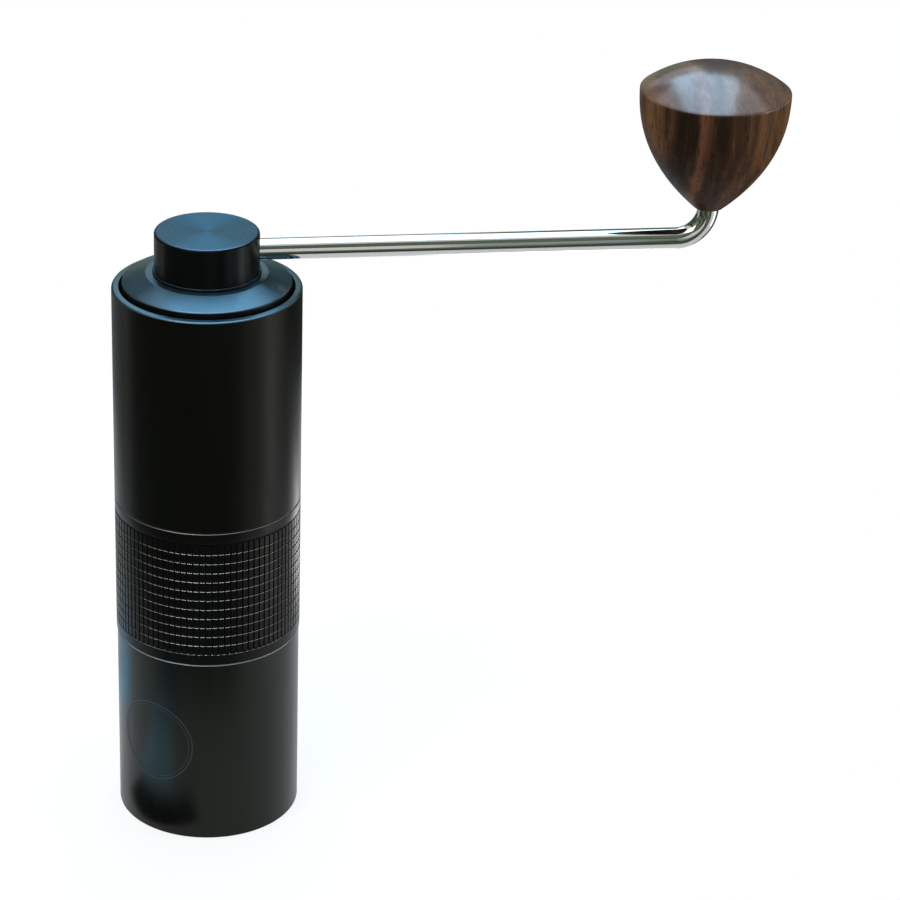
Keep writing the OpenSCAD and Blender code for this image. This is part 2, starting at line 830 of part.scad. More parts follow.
module crank_arm() {
    rod_start = rod_r / 2 + air;
    z_clip = z_shoulder + pin_l - 2 * clip_h;
    color("#d5d7da")
        difference() {
            union() {
                translate([rod_start, 0, z_rod])
                    rotate([0, 90, 0]) cylinder(h = arm_l - bend_r - rod_start, r = rod_r);
                translate([arm_l - bend_r, 0, z_rod + bend_r])
                    rotate([90, 0, 0])
                        rotate_extrude(angle = -90) translate([bend_r, 0]) circle(r = rod_r, $fn = 48);
                translate([arm_l, 0, z_rod + bend_r]) cylinder(h = z_shoulder - z_rod - bend_r, r = rod_r);
                translate([arm_l, 0, z_shoulder]) cylinder(h = pin_l, r = pin_r);
            }
            translate([arm_l, 0, 0]) ring(z_clip, z_clip + clip_h, pin_r + bite, pin_r - clip_bite);
        }
}

module knob_clip() {
    z_clip = z_shoulder + pin_l - 2 * clip_h;
    band = 0.9;
    gap_w = 1.6;
    color("#5b5e62")
        translate([arm_l, 0, 0])
            open_clip(z_clip, z_clip + clip_h, pin_r + band, pin_r - clip_bite + press_play, gap_w);
}

// ---- Knob ----

module knob_wood() {
    steps = 24;
    dome_r = (knob_r * knob_r + dome_h * dome_h) / (2 * dome_h);
    dome_half = asin(knob_r / dome_r);
    flank = [
        for (i = [0:steps])
            let (t = i / steps)
            [knob_foot_r + (knob_r - knob_foot_r) * (1 - pow(1 - t, flank_power)), z_knob + knob_h * t]
    ];
    dome = [
        for (i = [1:steps / 2])
            let (a = dome_half * (1 - 2 * i / steps))
            [dome_r * sin(a), z_knob_rim + dome_h - dome_r * (1 - cos(a))]
    ];
    color("#4a2e20")
        translate([arm_l, 0, 0])
            difference() {
                turned(concat([[0, z_knob]], flank, dome));
                disc(z_knob - bite, z_shoulder + pin_l + bite, knob_bush_r + press_play);
            }
}

module knob_bush() {
    z_top = z_shoulder + pin_l - 2 * clip_h - air;
    color("#b08d4a")
        translate([arm_l, 0, 0]) ring(z_shoulder + air, z_top, knob_bush_r, pin_r + run_play);
}

catch_cup();
cup_steel_ring();
upper_tube();
grip_body();
upper_bridge();
bridge_snap_ring();
lower_bridge();
upper_bearing_outer_race();
lower_bearing_outer_race();
upper_bearing_cover();
lower_bearing_cover();
ring_burr();
magnet_ring();
cup_magnets();
burr_screws();
drive_shaft();
shaft_circlips();
shaft_end_clip();
upper_bearing_inner_race();
lower_bearing_inner_race();
upper_bearing_balls();
lower_bearing_balls();
spring_washer();
burr_spring();
cone_burr();
click_balls();
click_springs();
adjusting_dial();
lid();
lid_seal();
lid_bush();
crank_hub();
drive_socket();
hub_circlip();
arm_set_screw();
crank_arm();
knob_clip();
knob_wood();
knob_bush();
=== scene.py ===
import bpy
import bmesh
import math
from mathutils import Matrix, Vector


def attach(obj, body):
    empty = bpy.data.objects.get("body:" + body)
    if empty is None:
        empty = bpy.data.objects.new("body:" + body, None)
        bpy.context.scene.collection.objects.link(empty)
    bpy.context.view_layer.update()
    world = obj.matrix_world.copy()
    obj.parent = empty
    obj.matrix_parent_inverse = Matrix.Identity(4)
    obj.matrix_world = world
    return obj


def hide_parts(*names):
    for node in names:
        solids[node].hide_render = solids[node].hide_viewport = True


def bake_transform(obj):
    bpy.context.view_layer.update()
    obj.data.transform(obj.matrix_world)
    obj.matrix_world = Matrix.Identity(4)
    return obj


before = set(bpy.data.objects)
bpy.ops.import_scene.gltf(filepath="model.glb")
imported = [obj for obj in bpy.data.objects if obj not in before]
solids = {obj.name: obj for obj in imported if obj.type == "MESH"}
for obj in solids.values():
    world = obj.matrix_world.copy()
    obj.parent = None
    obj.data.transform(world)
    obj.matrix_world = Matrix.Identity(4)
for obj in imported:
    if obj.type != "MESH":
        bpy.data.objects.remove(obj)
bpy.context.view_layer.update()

# ---- Catch cup ----
# The cup is turned from aluminium bar, bead blasted and anodised black.
# Magnets hold it under the grip, so it pulls straight off. A plain double
# ring is lasered on its side, and the space inside the ring is left bare.
MM = 0.001
FULL_TURN = 2 * math.pi
TURN_STEPS = 192
ROUNDING_STEPS = 4
MERGE_GAP = 1e-7
CREASE = math.radians(32)
CUP_R = 26.25
CUP_TOP = 57.6
CUP_BORE_R = 24.25
CUP_FLOOR = 2.5
NECK_R = 24.6
NECK_TOP = 62.2
NECK_BORE_R = 23.2
NECK_BORE_FOOT = 56.2
# Painted colours of the anodised parts: a blue sky reflection on faces that lie flat, a pale
# highlight on the cup's rounded edges that look up, and darker turned lines through the
# reflection.
SKY_REFLECTION_BLUE = (0.067, 0.132, 0.174, 1)
EDGE_HIGHLIGHT_PALE = (0.80, 0.85, 0.90, 1)
TURNED_LINES_IN_REFLECTION = (0.02, 0.05, 0.075, 1)
OLIVE_GLOSS = (0.90, 1.0, 0.84, 1)
LIES_FLAT = (0.86, 0.92)
FACE_LINES = 1300
WALL_LINES = 5200
BLASTED_GRAIN = 5200
BLASTED_ROUGHNESS = 0.29
CUT_ROUGHNESS = 0.6
SKIN_DEPTH = 0.000006


class Amount:
    """A value in a finish's nodes. Python's operators on it add Math nodes."""

    def __init__(self, tree, socket):
        self.tree, self.socket = tree, socket

    def math(self, operation, first, second=None, clamp=False):
        node = self.tree.nodes.new("ShaderNodeMath")
        node.operation = operation
        node.use_clamp = clamp
        for target, value in zip(node.inputs, (first, second)):
            if isinstance(value, Amount):
                self.tree.links.new(value.socket, target)
            elif value is not None:
                target.default_value = value
        return Amount(self.tree, node.outputs[0])

    def __add__(self, other):
        return self.math("ADD", self, other)

    def __radd__(self, other):
        return self.math("ADD", other, self)

    def __sub__(self, other):
        return self.math("SUBTRACT", self, other)

    def __rsub__(self, other):
        return self.math("SUBTRACT", other, self)

    def __mul__(self, other):
        return self.math("MULTIPLY", self, other)

    def __rmul__(self, other):
        return self.math("MULTIPLY", other, self)

    def __pow__(self, other):
        return self.math("POWER", self, other)

    def __rpow__(self, other):
        return self.math("POWER", other, self)

    def __abs__(self):
        return self.math("ABSOLUTE", self)

    def or_more(self, other):
        return self.math("MAXIMUM", self, other)

    def between(self, low, high):
        """0 below low, 1 above high, and even in between."""
        return self.math("MULTIPLY", self - low, 1 / (high - low), clamp=True)


class Wiring:
    """The nodes behind a finish, or behind the light of the room."""

    def __init__(self, tree):
        self.tree = tree

    def node(self, kind, sockets, output=0, stops=(), **settings):
        """Adds a node: its settings first, then the values or links of its sockets."""
        made = self.tree.nodes.new("ShaderNode" + kind)
        for setting, value in settings.items():
            setattr(made, setting, value)
        for i, (position, colour) in enumerate(stops):
            ramp = made.color_ramp.elements
            stop = ramp[i] if i < len(ramp) else ramp.new(position)
            stop.position, stop.color = position, colour
        for socket, value in sockets.items():
            if isinstance(value, Amount):
                self.tree.links.new(value.socket, made.inputs[socket])
            else:
                made.inputs[socket].default_value = value
        return Amount(self.tree, made.outputs[output]) if made.outputs else None

    def blend(self, share, first, second):
        """The colour first where share is 0, and second where it is 1."""
        return self.node("Mix", {0: share, 6: first, 7: second}, output=2, data_type="RGBA")


class Finish(Wiring):
    """A material with one Principled shader, whose plain values are its keywords."""

    def __init__(self, name, **plain):
        self.material = bpy.data.materials.new(name)
        self.material.use_nodes = True
        super().__init__(self.material.node_tree)
        self.shader = self.tree.nodes["Principled BSDF"]
        for socket, value in plain.items():
            self.shader.inputs[socket.replace("_", " ")].default_value = value

    def place(self, stretch=(1, 1, 1), centre=(0, 0, 0), turn=(0, 0, 0)):
        """The piece's own coordinates in metres, moved to centre and stretched."""
        here = self.node("TexCoord", {}, output="Object")
        shift = self.node("VectorMath", {0: here, 1: centre}, operation="SUBTRACT")
        return self.node("Mapping", {"Vector": shift, "Rotation": turn, "Scale": stretch})

    def radius_and_height(self):
        """Distance from the shaft and height above the foot, in metres."""
        here = self.node("TexCoord", {}, output="Object")
        x, y, z = (self.node("SeparateXYZ", {0: here}, output=i) for i in range(3))
        return (x * x + y * y) ** 0.5, z

    def noise(self, where, scale, detail=2.0, roughness=0.5, distortion=0.0):
        sockets = {"Vector": where, "Scale": scale, "Detail": detail,
                   "Roughness": roughness, "Distortion": distortion}
        return self.node("TexNoise", sockets)

    def feed(self, socket, value):
        self.tree.links.new(value.socket, self.shader.inputs[socket])

    def emboss(self, height, depth):
        """Bump from a height of 0 to 1, where depth is the real depth in metres."""
        self.feed("Normal", self.node("Bump", {"Height": height, "Distance": depth}))


def anodised(name, edge, top=SKY_REFLECTION_BLUE, black=0.0034, turning=0.35, clouds=0.08,
             satin=0.30, bright=1.0, highlight_rise=(0.35, 0.80), rings=0.25, rough_cut=None,
             **plain):
    """Black anodised aluminium. Rounded edges that look up get a painted highlight in the edge
    colour, and faces that lie flat or nearly so get a painted sky reflection in the top colour,
    crossed by turned lines. Walls that are cut deeper than the radius rough_cut, in mm, are left
    dull."""
    finish = Finish(name, **{"Specular_IOR_Level": 0.10, **plain})
    radius, height = finish.radius_and_height()
    facing = finish.node("NewGeometry", {}, output="Normal")
    lift = finish.node("SeparateXYZ", {0: facing}, output=2)
    upward = lift.between(*highlight_rise)
    cloud = finish.noise(finish.place(), 55, 4)
    smear = finish.noise(finish.place((1, 1, 0.25)), 160, 3, distortion=0.8)
    warm = (black * 1.2, black * 1.2, black * 0.9, 1)
    cool = (black * 0.8, black * 0.9, black, 1)
    turned_lines = finish.node("CombineXYZ", {0: radius * FACE_LINES, 2: height * WALL_LINES})
    lathe = finish.noise(turned_lines, 1, 3)
    # Painted highlight on edges that look up, painted sky reflection on faces that lie flat, with
    # darker turned lines through it.
    lit = finish.blend(lift.between(*LIES_FLAT), edge, top)
    lit = finish.blend(lathe.between(0.35, 0.7) * rings, lit, TURNED_LINES_IN_REFLECTION)
    finish.feed("Base Color", finish.blend(upward, finish.blend(cloud, cool, warm), lit))
    finish.feed("Metallic", upward * bright)
    dullness = (BLASTED_ROUGHNESS + smear.between(0.35, 0.75) * clouds
                + upward * (satin - BLASTED_ROUGHNESS))
    if rough_cut:
        shallow = radius.between((rough_cut - 0.05) * MM, (rough_cut + 0.05) * MM)
        dullness = dullness + (1 - shallow) * (1 - upward) * CUT_ROUGHNESS
    finish.feed("Roughness", dullness)
    blasting = finish.noise(finish.place(), BLASTED_GRAIN, 1)
    finish.emboss(lathe * turning * (1 + upward * 6) + blasting * 0.25, SKIN_DEPTH)
    return finish.material


def spun(outline, closed=True, steps=TURN_STEPS):
    """Spins a half outline round the shaft. Each corner is a radius and a height in mm,
    and a third number is the rounding of that corner."""
    bm = bmesh.new()
    corners = [bm.verts.new((r * MM, 0, z * MM)) for r, z, *_ in outline]
    ends = corners[1:] + corners[:1] if closed else corners[1:]
    for pair in zip(corners, ends):
        bm.edges.new(pair)
    for corner, (_, _, *rounding) in zip(corners, outline):
        if rounding:
            bmesh.ops.bevel(bm, geom=[corner], offset=rounding[0] * MM, affect="VERTICES",
                            segments=ROUNDING_STEPS, profile=0.5, material=-1)
    bmesh.ops.spin(bm, geom=bm.verts[:] + bm.edges[:], cent=(0, 0, 0), axis=(0, 0, 1),
                   angle=FULL_TURN, steps=steps, use_merge=True)
    bmesh.ops.remove_doubles(bm, verts=bm.verts, dist=MERGE_GAP)
    bmesh.ops.recalc_face_normals(bm, faces=bm.faces)
    return bm


def put_in_scene(name, bm):
    """Makes an object of the mesh, and lets the bmesh go."""
    mesh = bpy.data.meshes.new(name)
    bm.to_mesh(mesh)
    bm.free()
    thing = bpy.data.objects.new(name, mesh)
    bpy.context.scene.collection.objects.link(thing)
    return thing


def finished(name, bm):
    """Makes the piece from its mesh, smooth over curves and sharp at its corners."""
    piece = put_in_scene(name, bm)
    piece.data.shade_smooth()
    piece.data.set_sharp_from_angle(angle=CREASE)
    even = piece.modifiers.new("even_shading", "WEIGHTED_NORMAL")
    even.keep_sharp = True
    return piece


def fit(piece, body, slot, material, *nodes):
    """The piece gets its finish, moves with its body and stands for its solids."""
    piece.data.materials.append(material)
    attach(piece, body)
    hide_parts(*nodes)


cup = spun([
    (0, 0), (CUP_R, 0, 0.5), (CUP_R, CUP_TOP, 0.5), (NECK_R, CUP_TOP),
    (NECK_R, NECK_TOP, 0.15), (NECK_BORE_R, NECK_TOP, 0.15), (NECK_BORE_R, NECK_BORE_FOOT),
    (CUP_BORE_R, NECK_BORE_FOOT - (CUP_BORE_R - NECK_BORE_R)), (CUP_BORE_R, CUP_FLOOR, 1.0),
    (0, CUP_FLOOR),
], closed=False)
# The cup's rounded edges that look up get a pale painted highlight, and its flat shoulder a
# painted sky reflection.
cup_black = anodised("cup_black", EDGE_HIGHLIGHT_PALE, black=0.0033, bright=0.38,
                     Specular_IOR_Level=0.21, Specular_Tint=OLIVE_GLOSS)
fit(finished("catch_cup_shell", cup), "cup", "cup_anodised", cup_black, "catch_cup")

MARK_LINES = ((12.4, 0.34), (11.4, 0.18))
MARK_PROUD = 0.05
MARK_SUNK = 0.01
MARK_STEPS = 96
MARK_HEIGHT = 30.2
MARK_ANGLE = math.radians(-131.5)
LASERED_DARK = (0.018, 0.023, 0.026, 1)
LASERED_GREY = (0.034, 0.046, 0.053, 1)
mark = bmesh.new()
for ring_r, line_w in MARK_LINES:
    inner, outer = ring_r - line_w / 2, ring_r + line_w / 2
    section = [(inner, 0), (outer, 0), (outer, MARK_PROUD), (inner, MARK_PROUD)]
    corners = [mark.verts.new((r * MM, 0, z * MM)) for r, z in section]
    edges = [mark.edges.new(pair) for pair in zip(corners, corners[1:] + corners[:1])]
    bmesh.ops.spin(mark, geom=corners + edges, cent=(0, 0, 0), axis=(0, 0, 1),
                   angle=FULL_TURN, steps=MARK_STEPS, use_merge=True)
bmesh.ops.remove_doubles(mark, verts=mark.verts, dist=MERGE_GAP)
for corner in mark.verts:
    across, up, out = corner.co
    angle = MARK_ANGLE + across / (CUP_R * MM)
    reach = (CUP_R - MARK_SUNK) * MM + out
    corner.co = (reach * math.cos(angle), reach * math.sin(angle), MARK_HEIGHT * MM + up)
bmesh.ops.recalc_face_normals(mark, faces=mark.faces)
lasered = Finish("lasered_grey", Roughness=0.45, Specular_IOR_Level=0.3)
speckle = lasered.noise(lasered.place(), 900, 2)
lasered.feed("Base Color", lasered.blend(speckle, LASERED_DARK, LASERED_GREY))
fit(finished("cup_ring_mark", mark), "cup", "cup_anodised", lasered.material)

# ---- Cup's steel ring ----
# The ring is pressed on the cup's neck, where the magnets pull on it. It is
# turned from mild steel and nickel plated.
FINE_LINES = 4200
STAIN_SHADE = 0.72
STAIN_DULLS = 0.06
LINES_DULL = 0.06
PLATED_NICKEL = (0.58, 0.57, 0.54, 1)


def machined(name, colour, roughness=0.25, lathe=0.4, scratches=0.3):
    """Bare or plated metal off the lathe, with turned lines and small stains."""
    finish = Finish(name, Metallic=1.0)
    radius, height = finish.radius_and_height()
    rings = finish.node("CombineXYZ", {0: radius * FINE_LINES, 2: height * FINE_LINES})
    lines = finish.noise(rings, 1, 3)
    cloud = finish.noise(finish.place(), 240, 4)
    marks = finish.noise(finish.place((1, 1, 6)), 900, 2, distortion=1.2)
    dull = tuple(c * STAIN_SHADE for c in colour[:3]) + (1,)
    finish.feed("Base Color", finish.blend(cloud.between(0.3, 0.75), dull, colour))
    finish.feed("Roughness", roughness + cloud * STAIN_DULLS + lines * LINES_DULL)
    finish.emboss(lines * lathe + marks * scratches, SKIN_DEPTH)
    return finish.material


def refinish(material, *names):
    """Gives the solids' own shapes a better material."""
    for name in names:
        for slot in solids[name].material_slots:
            slot.material = material


refinish(machined("plated_ring", PLATED_NICKEL, 0.28), "cup_steel_ring")

# ---- Upper tube ----
# The plain tube holds the beans above the burrs. It is turned from aluminium,
# bored in steps for the bridge and the lid, and anodised black inside and out.
BODY_R = 26.5
SEAM_Z = 99.5
RIM_Z = 163.8
RIM_DROP = 0.2
SPIGOT_R = 25.18
SPIGOT_FOOT = 91.5
MOUTH_R = 24.4
MOUTH_FOOT = 154.7
BRIDGE_SEAT_R = 23.0
BRIDGE_SEAT_FOOT = 130.0
SNAP_GROOVE_R = 24.0
SNAP_GROOVE = (137.4, 138.6)
BEAN_BORE_R = 22.2
# Painted highlight colour for the rounded edges of the tube and the lid that look up.
EDGE_HIGHLIGHT_BLUE = (0.13, 0.19, 0.24, 1)
tube = spun([
    (BEAN_BORE_R, SPIGOT_FOOT), (SPIGOT_R, SPIGOT_FOOT), (SPIGOT_R, SEAM_Z),
    (BODY_R, SEAM_Z, 0.5), (BODY_R, RIM_Z - RIM_DROP, 0.6), (MOUTH_R, RIM_Z, 0.3),
    (MOUTH_R, MOUTH_FOOT), (BRIDGE_SEAT_R, MOUTH_FOOT, 0.2),
    (BRIDGE_SEAT_R, SNAP_GROOVE[1]), (SNAP_GROOVE_R, SNAP_GROOVE[1]),
    (SNAP_GROOVE_R, SNAP_GROOVE[0]), (BRIDGE_SEAT_R, SNAP_GROOVE[0]),
    (BRIDGE_SEAT_R, BRIDGE_SEAT_FOOT), (BEAN_BORE_R, BRIDGE_SEAT_FOOT),
])
# The tube's rim gets a painted sky reflection on its flat face and a painted highlight on its
# rounded edges.
fit(finished("upper_tube_shell", tube), "body", "body_anodised",
    anodised("body_black", EDGE_HIGHLIGHT_BLUE, Specular_Tint=OLIVE_GLOSS), "upper_tube")

# ---- Grip ----
# The grip is milled into small pads, 94 round the body in 12 rows, between two
# plain bands. It screws onto the tube, and its ledge holds the ring burr.
PAD_COLUMNS = 94
PAD_ROWS = 12
PAD_FOOT = 61.25
PAD_ROW_H = 2.9
PAD_WALL = 0.16
PAD_EDGE = 0.04
PAD_CROWN = 0.03
GROOVE_R = 26.15
GROOVE_HALF = 0.07
FACET_DIP = 0.2
STEEP = 0.1
LOWER_SLOPE = (0.245, 0.05)
PAD_CLEAR = 0.05
TOP_EDGE = 0.3
TOUCHING = 0.01
BAND_CHAMFER = 0.2
CHAMFER_FOOT = 0.02
CHAMFER_TOP = 0.60
GRIP_FOOT = 57.8
CUP_SOCKET_R = 24.9
CUP_SOCKET_TOP = 67.6
GRIP_BORE_R = 24.05
BURR_LEDGE_R = 19.6
BURR_LEDGE = (80.1, 84.1)
TUBE_SOCKET_R = 25.2
# Painted grey highlight for the grip's pads and the dial, on faces that look up.
EDGE_HIGHLIGHT_GREY = (0.46, 0.425, 0.385, 1)
pad_top = PAD_FOOT + PAD_ROWS * PAD_ROW_H
row_lines = [(GROOVE_R, PAD_FOOT + i * PAD_ROW_H) for i in range(PAD_ROWS + 1)]
grip = spun([
    (CUP_SOCKET_R, GRIP_FOOT), (BODY_R, GRIP_FOOT, 0.3), (BODY_R, PAD_FOOT - LOWER_SLOPE[0]),
    (GROOVE_R, PAD_FOOT - LOWER_SLOPE[1]), *row_lines, (GROOVE_R, pad_top + CHAMFER_FOOT),
    (BODY_R - BAND_CHAMFER, pad_top + CHAMFER_FOOT), (BODY_R, pad_top + CHAMFER_TOP),
    (BODY_R, SEAM_Z, 0.38), (TUBE_SOCKET_R, SEAM_Z), (TUBE_SOCKET_R, SPIGOT_FOOT),
    (GRIP_BORE_R, SPIGOT_FOOT), (GRIP_BORE_R, BURR_LEDGE[1]), (BURR_LEDGE_R, BURR_LEDGE[1]),
    (BURR_LEDGE_R, BURR_LEDGE[0]), (GRIP_BORE_R, BURR_LEDGE[0]),
    (GRIP_BORE_R, CUP_SOCKET_TOP), (CUP_SOCKET_R, CUP_SOCKET_TOP),
], steps=PAD_COLUMNS)
pads = [f for f in grip.faces
        if f.calc_center_median().xy.length > (GROOVE_R - FACET_DIP) * MM
        and PAD_FOOT * MM < f.calc_center_median().z < pad_top * MM
        and abs(f.normal.z) < STEEP]
for inset, rise in ((GROOVE_HALF, 0), (PAD_WALL, BODY_R - GROOVE_R - PAD_CROWN),
                    (PAD_EDGE, PAD_CROWN)):
    bmesh.ops.inset_individual(grip, faces=pads, thickness=inset * MM, depth=rise * MM,
                               use_even_offset=True)
# The top row's pads run up to the band, without a groove between them.
for corner in grip.verts:
    on_pad = corner.co.xy.length > (GROOVE_R + PAD_CLEAR) * MM
    if on_pad and (pad_top - TOP_EDGE) * MM < corner.co.z < (pad_top + TOUCHING) * MM:
        corner.co.z = pad_top * MM
# The pads' walls that look up are painted with a grey highlight, which draws the light lines
# between the rows.
grip_black = anodised("grip_black", EDGE_HIGHLIGHT_GREY, EDGE_HIGHLIGHT_GREY, black=0.0026, turning=0.15,
                      satin=0.2, rough_cut=26.4, Specular_IOR_Level=0.125)
fit(finished("grip_padded_shell", grip), "body", "grip_anodised", grip_black, "grip_body")

# ---- Lid ----
# The lid plugs the mouth and slopes up to a flat land around the hub. It is
# turned aluminium, anodised like the body, with a groove for its rubber ring.
LID_HOLE_R = 9.18
LID_UNDERSIDE = 163.2
LID_SKIRT_R = 22.3
LID_FOOT = 155.0
LID_R = 23.6
LID_SHOULDER = 165.2
SEAL_GROOVE_R = 22.85
SEAL_GROOVE = (157.6, 159.4)
LAND_R = 17.0
LAND_Z = 167.7
lid = spun([
    (LID_HOLE_R, LID_UNDERSIDE), (LID_SKIRT_R, LID_UNDERSIDE), (LID_SKIRT_R, LID_FOOT),
    (LID_R, LID_FOOT, 0.2), (LID_R, SEAL_GROOVE[0]), (SEAL_GROOVE_R, SEAL_GROOVE[0]),
    (SEAL_GROOVE_R, SEAL_GROOVE[1]), (LID_R, SEAL_GROOVE[1]), (LID_R, LID_SHOULDER, 0.45),
    (LAND_R, LAND_Z, 0.3), (LID_HOLE_R, LAND_Z),
])
# The lid's slope and land get a painted sky reflection, and its rounded edges a painted
# highlight.
lid_black = anodised("lid_black", EDGE_HIGHLIGHT_BLUE, turning=0.5, satin=0.32, rings=0.12,
                     Anisotropic=0.6, Anisotropic_Rotation=0.25)
fit(finished("lid_shell", lid), "lid", "lid_anodised", lid_black, "lid")

# ---- Crank hub ----
# The hub is a solid turned cap with a fine lip round its foot. Its stem goes
# down through the lid to the shaft, and the rod is pushed into a cross bore.
HUB_R = 14.6
HUB_TOP = 179.8
LIP_R = 15.1
LIP_FOOT = 167.8
LIP_TOP = 168.45
STEM_R = 7.5
STEM_FOOT = 157.0
SHAFT_POCKET_R = 6.18
SHAFT_POCKET_TOP = 170.85
CLIP_GROOVE_R = 7.0
CLIP_GROOVE = (161.1, 161.9)
# Painted sky reflection on the cap's top, and painted highlight on its lip and rounded top edge.
CAP_SKY_REFLECTION = (0.044, 0.110, 0.163, 1)
LIP_HIGHLIGHT_GREY = (0.24, 0.27, 0.29, 1)
COOL_GLOSS = (0.68, 0.86, 1.0, 1)
hub = spun([
    (0, SHAFT_POCKET_TOP), (SHAFT_POCKET_R, SHAFT_POCKET_TOP), (SHAFT_POCKET_R, STEM_FOOT),
    (STEM_R, STEM_FOOT, 0.4), (STEM_R, CLIP_GROOVE[0]), (CLIP_GROOVE_R, CLIP_GROOVE[0]),
    (CLIP_GROOVE_R, CLIP_GROOVE[1]), (STEM_R, CLIP_GROOVE[1]), (STEM_R, LIP_FOOT),
    (LIP_R, LIP_FOOT), (LIP_R, LIP_TOP, 0.4), (HUB_R, LIP_TOP), (HUB_R, HUB_TOP, 0.8),
    (0, HUB_TOP),
], closed=False)
# The cap's top gets a painted sky reflection, and its lip and edges a painted grey highlight.
hub_black = anodised("hub_black", LIP_HIGHLIGHT_GREY, CAP_SKY_REFLECTION, turning=1.0, clouds=0.03, satin=0.24,
                     highlight_rise=(0.78, 0.93), rings=0.4, Specular_Tint=COOL_GLOSS,
                     Anisotropic=0.7, Anisotropic_Rotation=0.25)
fit(finished("crank_hub_shell", hub), "crank", "hub_anodised", hub_black, "crank_hub")

# ---- Crank rod ----
# The rod is 6 mm stainless bar, drawn, bent once near its end and polished to
# a mirror. A thinner pin at its top carries the knob.
QUARTER_TURN = math.radians(90)
ROD_R = 3.0
ROD_Z = 174.0
ROD_START = 3.3
ROD_SIDES = 64
STRAIGHT_STEPS = 8
BEND_X = 131.5
BEND_R = 9.0
BEND_STEPS = 28
SHOULDER_Z = 185.0
PIN_R = 2.0
PIN_TOP = 205.8
POLISHED_STEEL = (0.50, 0.505, 0.49, 1)


def bar_end(bm, radius, sides, axis, at):
    """The round end of a bar or wire, upright about axis, at a point given in mm."""
    rim = bmesh.ops.create_circle(bm, cap_ends=True, segments=sides, radius=radius * MM)["verts"]
    bmesh.ops.rotate(bm, verts=rim, cent=(0, 0, 0), matrix=Matrix.Rotation(QUARTER_TURN, 3, axis))
    bmesh.ops.translate(bm, verts=rim, vec=tuple(c * MM for c in at))
    bm.faces.ensure_lookup_table()
    return bm.faces[0]


def bent(bm, end, **arc):
    """Sweeps the end face along an arc or a coil, and returns the new end face."""
    swept = bmesh.ops.spin(bm, geom=[end], **arc)
    return [f for f in swept["geom_last"] if isinstance(f, bmesh.types.BMFace)][0]


def carry_on(bm, end, steps):
    """Extrudes the end face along several moves, and returns the new end face."""
    for step in steps:
        grown = bmesh.ops.extrude_discrete_faces(bm, faces=[end])["faces"][0]
        bmesh.ops.translate(bm, verts=grown.verts, vec=step)
        end = grown
    return end


rod = bmesh.new()
end = bar_end(rod, ROD_R, ROD_SIDES, "Y", (ROD_START, 0, ROD_Z))
one_step = ((BEND_X - ROD_START) * MM / STRAIGHT_STEPS, 0, 0)
end = carry_on(rod, end, [one_step] * STRAIGHT_STEPS)
end = bent(rod, end, cent=(BEND_X * MM, 0, (ROD_Z + BEND_R) * MM), axis=(0, -1, 0),
           angle=QUARTER_TURN, steps=BEND_STEPS)
end = carry_on(rod, end, [(0, 0, (SHOULDER_Z - ROD_Z - BEND_R) * MM)])
bmesh.ops.inset_individual(rod, faces=[end], thickness=(ROD_R - PIN_R) * MM, depth=0)
carry_on(rod, end, [(0, 0, (PIN_TOP - SHOULDER_Z) * MM)])
bmesh.ops.remove_doubles(rod, verts=rod.verts, dist=MERGE_GAP)
bmesh.ops.recalc_face_normals(rod, faces=rod.faces)
mirror_steel = Finish("mirror_steel", Metallic=1.0, Base_Color=POLISHED_STEEL)
drawn = mirror_steel.noise(mirror_steel.place((0.02, 1, 1)), 3200, 3)
wiped = mirror_steel.noise(mirror_steel.place((0.3, 1, 1)), 300, 3)
mirror_steel.feed("Roughness", 0.055 + drawn * 0.05 + wiped.between(0.45, 0.8) * 0.05)
mirror_steel.emboss(drawn, 0.0000012)
fit(finished("crank_rod", rod), "crank", "polished_steel", mirror_steel.material, "crank_arm")

# ---- Knob ----
# The knob is turned from a block of walnut with its grain along the shaft. The
# dome is rubbed to a polish by the palm, and the flank is oiled and duller.
KNOB_X = 140.5
KNOB_FOOT = 183.15
KNOB_RIM = 217.65
KNOB_R = 21.0
KNOB_FOOT_R = 3.9
KNOB_BORE_R = 3.2
KNOB_BORE_TOP = 206.8
DOME_H = 7.2
FULLNESS = 2.28
FLANK_STEPS = 40
DOME_STEPS = 20
KNOB_STEPS = 160
PORE_DARK = (0.005, 0.003, 0.002, 1)
WALNUT_DEEP = (0.019, 0.0105, 0.0058, 1)
WALNUT_MID = (0.058, 0.026, 0.0130, 1)
WALNUT_LIGHT = (0.190, 0.088, 0.031, 1)
WALNUT_RED = (0.175, 0.072, 0.040, 1)
# Painted sheen: a mauve tone that lightens the dome.
DOME_SHEEN_TONE = (0.165, 0.096, 0.088, 1)
GRAIN_MIDDLE = (KNOB_X * MM, 0, 0.2)
GRAIN_SWAY = 7
GRAIN_BELTS = ((-18.4, 3.5, 0.12), (-12.3, 4.5, -0.18), (-2.0, 5.0, -0.18),
               (9.9, 5.0, 0.12), (17.0, 4.5, 0.20))
RED_BELT = (-7.2, 1.9)
flank = [
    (KNOB_FOOT_R + (KNOB_R - KNOB_FOOT_R) * (1 - (1 - t / FLANK_STEPS) ** FULLNESS),
     KNOB_FOOT + (KNOB_RIM - KNOB_FOOT) * t / FLANK_STEPS)
    for t in range(FLANK_STEPS + 1)
]
foot_edge, rim_edge = (*flank[0], 0.3), (*flank[-1], 0.2)
dome_r = (KNOB_R ** 2 + DOME_H ** 2) / (2 * DOME_H)
dome_half = math.asin(KNOB_R / dome_r)
dome = [
    (dome_r * math.sin(dome_half * t / DOME_STEPS),
     KNOB_RIM + DOME_H - dome_r * (1 - math.cos(dome_half * t / DOME_STEPS)))
    for t in range(DOME_STEPS - 1, -1, -1)
]
